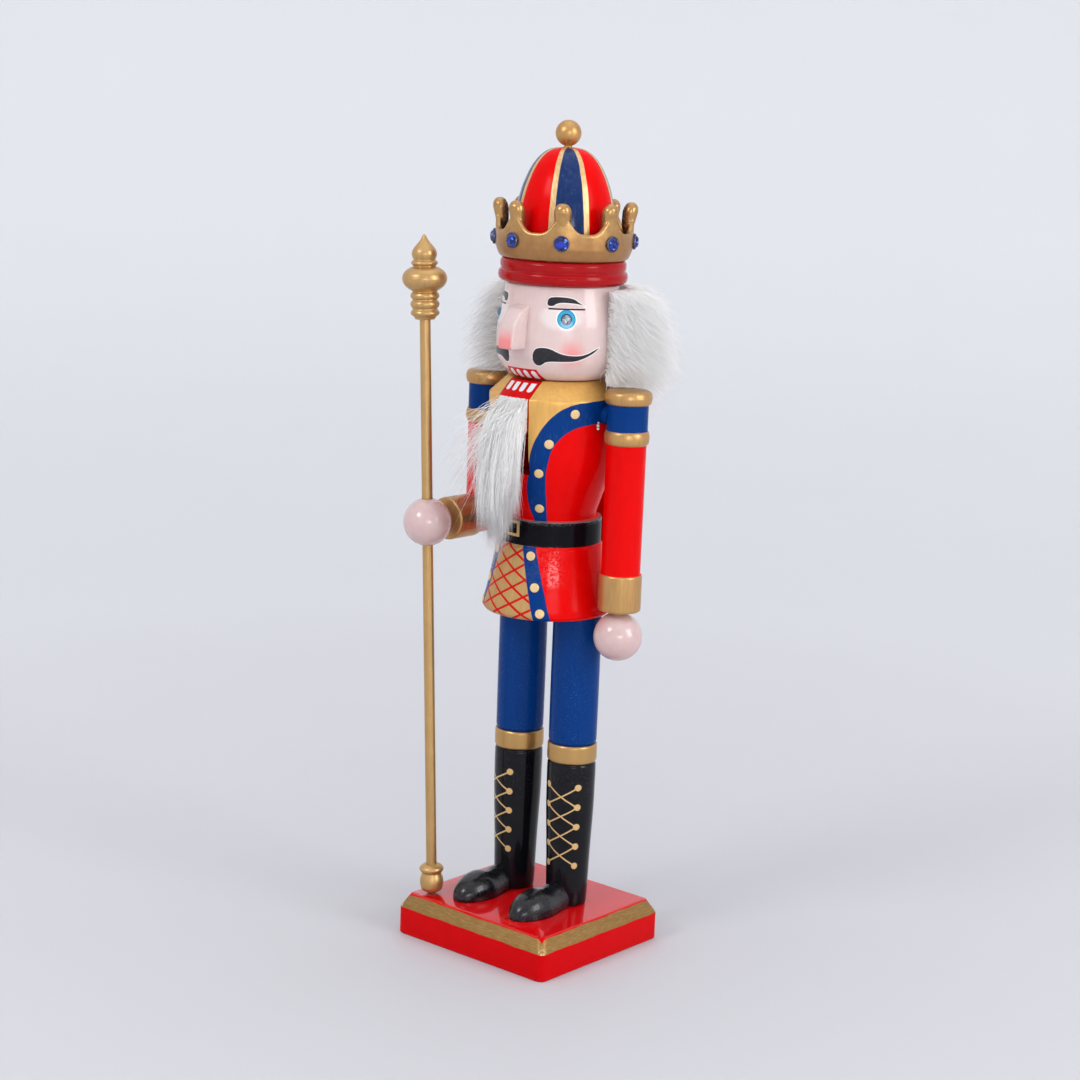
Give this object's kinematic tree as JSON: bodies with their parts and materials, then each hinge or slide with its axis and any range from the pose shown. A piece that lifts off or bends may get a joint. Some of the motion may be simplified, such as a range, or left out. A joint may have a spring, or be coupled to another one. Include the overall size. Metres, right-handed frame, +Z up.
{
  "type": "nutcracker figure",
  "caption": "Painted wooden soldier-king nutcracker on a square base, with a lever-worked jaw, fur hair and beard, a gemmed crown and a long staff held in one hand.",
  "frame": {"origin": "centre of the base's flat underside", "axes": "+Z up; the figure faces -Y, and its left arm is on +X"},
  "size_m": [0.1089, 0.0953, 0.38],
  "materials": {
    "red_lacquer": "gloss red lacquer on turned wood",
    "jacket_paint": "gloss lacquer, painted in red, blue, gold and black",
    "sleeve_paint": "gloss lacquer, red sleeve with blue and gold bands",
    "leg_paint": "gloss lacquer, blue above a gold band and a black boot",
    "flesh_paint": "gloss pale pink lacquer",
    "black_lacquer": "gloss black lacquer",
    "gold_paint": "satin metallic gold paint",
    "crown_resin": "cast resin in metallic gold paint",
    "blue_stone": "faceted blue acrylic stone",
    "clear_stone": "faceted clear acrylic stone",
    "bare_wood": "unfinished dowel",
    "steel": "bright zinc",
    "white_fur": "long white fur"
  },
  "bodies": {
    "figure": {"base_block": "red_lacquer", "base_screw_left": "steel", "base_screw_right": "steel", "leg_left": "leg_paint", "leg_right": "leg_paint", "shoe_left": "black_lacquer", "shoe_right": "black_lacquer", "leg_dowel_left": "bare_wood", "leg_dowel_right": "bare_wood", "torso": "jacket_paint", "neck_dowel_left": "bare_wood", "neck_dowel_right": "bare_wood", "head": "flesh_paint", "nose": "flesh_paint", "eye_gem_left": "clear_stone", "eye_gem_right": "clear_stone", "hair": "white_fur", "hat_dowel": "bare_wood", "hat": "red_lacquer", "hat_ball": "gold_paint", "crown": "crown_resin", "crown_gem_1": "blue_stone", "crown_gem_2": "blue_stone", "crown_gem_3": "blue_stone", "crown_gem_4": "blue_stone", "crown_gem_5": "blue_stone", "crown_gem_6": "blue_stone", "crown_gem_7": "blue_stone", "crown_gem_8": "blue_stone", "shoulder_dowel_left": "bare_wood", "shoulder_dowel_right": "bare_wood", "left_arm": "sleeve_paint", "left_hand": "flesh_paint", "wrist_dowel_left": "bare_wood", "right_upper_arm": "sleeve_paint", "elbow_dowel": "bare_wood", "right_forearm": "sleeve_paint", "wrist_dowel_right": "bare_wood", "right_hand": "flesh_paint", "jaw_pin": "steel"},
    "jaw": {"jaw_lever": "red_lacquer", "beard": "white_fur"},
    "staff": {"staff_rod": "gold_paint", "staff_foot": "gold_paint", "staff_finial": "gold_paint"}
  },
  "joints": [
    {"name": "jaw_hinge", "type": "hinge", "parent": "figure", "child": "jaw", "pos_m": [0, 0.004, 0.243], "axis": [1, 0, 0], "range_deg": [0, 22], "deforming": ["beard"]},
    {"name": "staff_lift", "type": "slide", "parent": "figure", "child": "staff", "axis": [-0.0419, -0.0136, 0.999], "range_m": [0, 0.145]}
  ]
}
